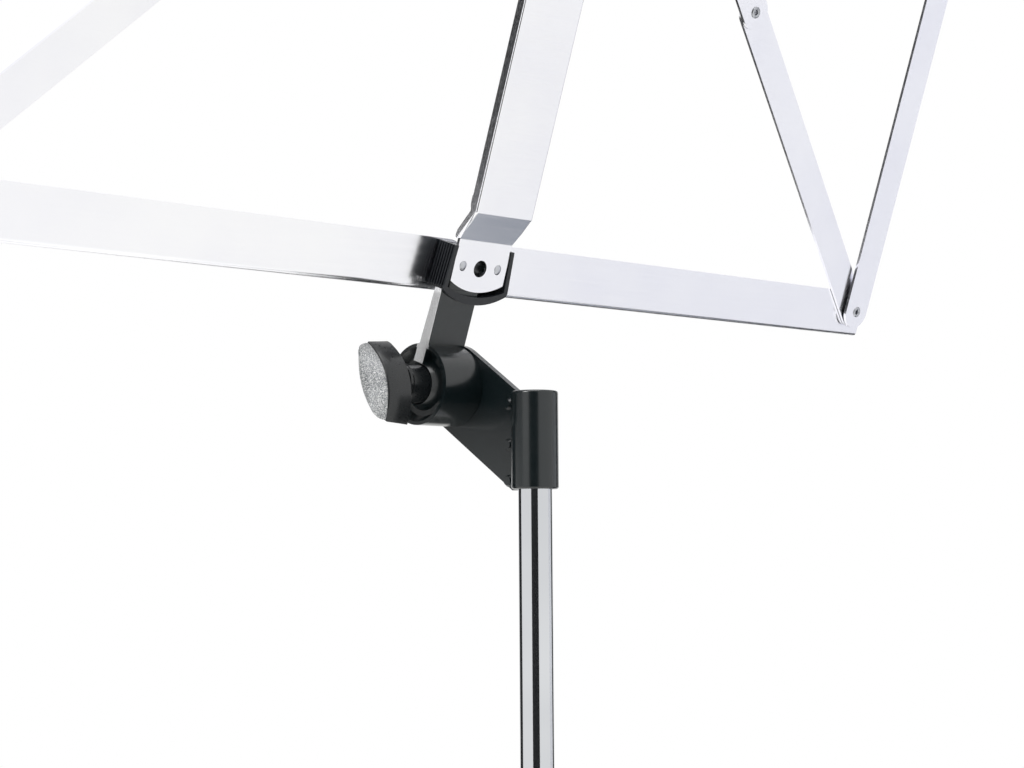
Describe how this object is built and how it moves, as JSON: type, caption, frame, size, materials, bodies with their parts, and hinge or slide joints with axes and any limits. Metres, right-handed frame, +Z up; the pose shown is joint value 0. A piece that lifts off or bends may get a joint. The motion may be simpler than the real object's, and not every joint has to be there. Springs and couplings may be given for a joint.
{
  "type": "music stand",
  "caption": "Folding music stand: open-frame desk that tilts and folds flat on a telescopic column with folding tripod legs.",
  "frame": {"origin": "on the floor, on the axis of the column", "axes": "+Z up along the column; +X towards the right hand of a reader; the reader stands at -Y and looks along +Y"},
  "size_m": [0.4856, 0.4256, 1.318],
  "materials": {
    "nickel_sheet": "nickel plated sheet",
    "rivet_steel": "plated steel",
    "chrome_tube": "chrome plated",
    "chrome_channel": "nickel plated",
    "black_rubber": "matte",
    "black_enamel": "gloss black stove enamel",
    "black_plastic": "satin moulded"
  },
  "bodies": {
    "column_base": {"base_tube": "chrome_tube", "base_plug": "black_plastic", "strut_hub": "black_plastic", "hub_rivets": "rivet_steel", "lower_clamp": "black_plastic"},
    "lower_screw": {"lower_clamp_screw": "black_plastic"},
    "middle_mast": {"middle_tube": "chrome_tube", "middle_plug": "black_plastic", "upper_clamp": "black_plastic"},
    "upper_screw": {"upper_clamp_screw": "black_plastic"},
    "upper_mast": {"upper_tube": "chrome_tube", "upper_plug": "black_plastic"},
    "head": {"head_socket": "black_enamel", "gusset_plate": "black_enamel", "gusset_rivets": "rivet_steel", "tilt_bolt": "rivet_steel"},
    "knob": {"tilt_knob": "black_plastic"},
    "desk": {"tilt_arm": "black_enamel", "head_cover": "black_plastic", "centre_bar": "nickel_sheet", "plate_rivets": "rivet_steel", "brace_rivets": "rivet_steel"},
    "spider": {"leg_spider": "black_plastic", "leg_rivets": "rivet_steel"},
    "collar_screw": {"spider_screw": "black_plastic"},
    "leg_1_body": {"leg_1": "chrome_channel", "foot_1": "black_rubber"},
    "strut_1_body": {"strut_1": "chrome_channel", "strut_rivet_1": "rivet_steel"},
    "leg_2_body": {"leg_2": "chrome_channel", "foot_2": "black_rubber"},
    "strut_2_body": {"strut_2": "chrome_channel", "strut_rivet_2": "rivet_steel"},
    "leg_3_body": {"leg_3": "chrome_channel", "foot_3": "black_rubber"},
    "strut_3_body": {"strut_3": "chrome_channel", "strut_rivet_3": "rivet_steel"},
    "ledge_right_body": {"ledge_right": "nickel_sheet", "ledge_eyelet_right": "rivet_steel"},
    "top_bar_right_body": {"top_bar_right": "nickel_sheet"},
    "outer_strut_right_body": {"outer_strut_right": "nickel_sheet", "corner_eyelet_right": "rivet_steel"},
    "lower_brace_right_body": {"lower_brace_right": "nickel_sheet"},
    "upper_brace_right_body": {"upper_brace_right": "nickel_sheet", "knee_eyelet_right": "rivet_steel"},
    "ledge_left_body": {"ledge_left": "nickel_sheet", "ledge_eyelet_left": "rivet_steel"},
    "top_bar_left_body": {"top_bar_left": "nickel_sheet"},
    "outer_strut_left_body": {"outer_strut_left": "nickel_sheet", "corner_eyelet_left": "rivet_steel"},
    "lower_brace_left_body": {"lower_brace_left": "nickel_sheet"},
    "upper_brace_left_body": {"upper_brace_left": "nickel_sheet", "knee_eyelet_left": "rivet_steel"}
  },
  "joints": [
    {"name": "lower_height", "type": "slide", "parent": "column_base", "child": "middle_mast", "axis": [0, 0, 1], "range_m": [-0.24, 0.1]},
    {"name": "upper_height", "type": "slide", "parent": "middle_mast", "child": "upper_mast", "axis": [0, 0, 1], "range_m": [-0.2, 0.09]},
    {"name": "lower_screw_turn", "type": "hinge", "parent": "column_base", "child": "lower_screw", "pos_m": [0.0235, 0, 0.513], "axis": [1, 0, 0], "range_deg": [0, 360]},
    {"name": "upper_screw_turn", "type": "hinge", "parent": "middle_mast", "child": "upper_screw", "pos_m": [0.0215, 0, 0.797], "axis": [1, 0, 0], "range_deg": [0, 360]},
    {"name": "desk_turn", "type": "hinge", "parent": "upper_mast", "child": "head", "pos_m": [0, 0, 1.04], "axis": [0, 0, 1], "range_deg": [-180, 180]},
    {"name": "tilt", "type": "hinge", "parent": "head", "child": "desk", "pos_m": [0, -0.04295, 1.0542], "axis": [1, 0, 0], "range_deg": [-55, 19.2]},
    {"name": "knob_turn", "type": "hinge", "parent": "head", "child": "knob", "pos_m": [0, -0.04295, 1.0542], "axis": [1, 0, 0], "range_deg": [0, 360]},
    {"name": "leg_fold", "type": "slide", "parent": "column_base", "child": "spider", "axis": [0, 0, 1], "range_m": [0, 0.08959]},
    {"name": "collar_screw_turn", "type": "hinge", "parent": "spider", "child": "collar_screw", "pos_m": [-0.02, 0, 0.252], "axis": [1, 0, 0], "range_deg": [0, 360]},
    {"name": "leg_1_hinge", "type": "hinge", "parent": "spider", "child": "leg_1_body", "pos_m": [0.022, 0, 0.252], "axis": [0, -1, 0], "range_deg": [-32.2, 0]},
    {"name": "strut_1_hinge", "type": "hinge", "parent": "column_base", "child": "strut_1_body", "pos_m": [0.022, 0, 0.062], "axis": [0, -1, 0], "range_deg": [0, 46.5]},
    {"name": "leg_2_hinge", "type": "hinge", "parent": "spider", "child": "leg_2_body", "pos_m": [-0.011, 0.01905, 0.252], "axis": [0.866, 0.5, 0], "range_deg": [-32.2, 0]},
    {"name": "strut_2_hinge", "type": "hinge", "parent": "column_base", "child": "strut_2_body", "pos_m": [-0.011, 0.01905, 0.062], "axis": [0.866, 0.5, 0], "range_deg": [0, 46.5]},
    {"name": "leg_3_hinge", "type": "hinge", "parent": "spider", "child": "leg_3_body", "pos_m": [-0.011, -0.01905, 0.252], "axis": [-0.866, 0.5, 0], "range_deg": [-32.2, 0]},
    {"name": "strut_3_hinge", "type": "hinge", "parent": "column_base", "child": "strut_3_body", "pos_m": [-0.011, -0.01905, 0.062], "axis": [-0.866, 0.5, 0], "range_deg": [0, 46.5]},
    {"name": "fold_right", "type": "hinge", "parent": "desk", "child": "ledge_right_body", "pos_m": [0.00875, -0.03515, 1.0985], "axis": [0, -0.9444, 0.3289], "range_deg": [0, 90]},
    {"name": "top_bar_right_hinge", "type": "hinge", "parent": "desk", "child": "top_bar_right_body", "pos_m": [0.00875, 0.04409, 1.31022], "axis": [0, -0.9444, 0.3289], "range_deg": [0, 91]},
    {"name": "outer_strut_right_hinge", "type": "hinge", "parent": "ledge_right_body", "child": "outer_strut_right_body", "pos_m": [0.23475, -0.0326, 1.09761], "axis": [0, -0.9444, 0.3289], "range_deg": [-91, 0]},
    {"name": "lower_brace_right_hinge", "type": "hinge", "parent": "ledge_right_body", "child": "lower_brace_right_body", "pos_m": [0.23475, -0.0342, 1.09817], "axis": [0, -0.9444, 0.3289], "range_deg": [0, 46.5]},
    {"name": "upper_brace_right_hinge", "type": "hinge", "parent": "desk", "child": "upper_brace_right_body", "pos_m": [0.00875, 0.0455, 1.30972], "axis": [0, -0.9444, 0.3289], "range_deg": [-46, 0]},
    {"name": "fold_left", "type": "hinge", "parent": "desk", "child": "ledge_left_body", "pos_m": [-0.00875, -0.03515, 1.0985], "axis": [0, -0.9444, 0.3289], "range_deg": [-90, 0]},
    {"name": "top_bar_left_hinge", "type": "hinge", "parent": "desk", "child": "top_bar_left_body", "pos_m": [-0.00875, 0.04409, 1.31022], "axis": [0, -0.9444, 0.3289], "range_deg": [-91, 0]},
    {"name": "outer_strut_left_hinge", "type": "hinge", "parent": "ledge_left_body", "child": "outer_strut_left_body", "pos_m": [-0.23475, -0.0326, 1.09761], "axis": [0, -0.9444, 0.3289], "range_deg": [0, 91]},
    {"name": "lower_brace_left_hinge", "type": "hinge", "parent": "ledge_left_body", "child": "lower_brace_left_body", "pos_m": [-0.23475, -0.0342, 1.09817], "axis": [0, -0.9444, 0.3289], "range_deg": [-46.5, 0]},
    {"name": "upper_brace_left_hinge", "type": "hinge", "parent": "desk", "child": "upper_brace_left_body", "pos_m": [-0.00875, 0.0455, 1.30972], "axis": [0, -0.9444, 0.3289], "range_deg": [0, 46]}
  ],
  "couplings": [
    {"joint": "leg_1_hinge", "follows": "leg_fold", "rad_per_m": -6.2477},
    {"joint": "strut_1_hinge", "follows": "leg_fold", "rad_per_m": 9.0238},
    {"joint": "leg_2_hinge", "follows": "leg_fold", "rad_per_m": -6.2477},
    {"joint": "strut_2_hinge", "follows": "leg_fold", "rad_per_m": 9.0238},
    {"joint": "leg_3_hinge", "follows": "leg_fold", "rad_per_m": -6.2477},
    {"joint": "strut_3_hinge", "follows": "leg_fold", "rad_per_m": 9.0238},
    {"joint": "top_bar_right_hinge", "follows": "fold_right", "ratio": 1},
    {"joint": "outer_strut_right_hinge", "follows": "fold_right", "ratio": -1},
    {"joint": "lower_brace_right_hinge", "follows": "fold_right", "ratio": 0.507},
    {"joint": "upper_brace_right_hinge", "follows": "fold_right", "ratio": -0.5},
    {"joint": "top_bar_left_hinge", "follows": "fold_left", "ratio": 1},
    {"joint": "outer_strut_left_hinge", "follows": "fold_left", "ratio": -1},
    {"joint": "lower_brace_left_hinge", "follows": "fold_left", "ratio": 0.507},
    {"joint": "upper_brace_left_hinge", "follows": "fold_left", "ratio": -0.5}
  ]
}
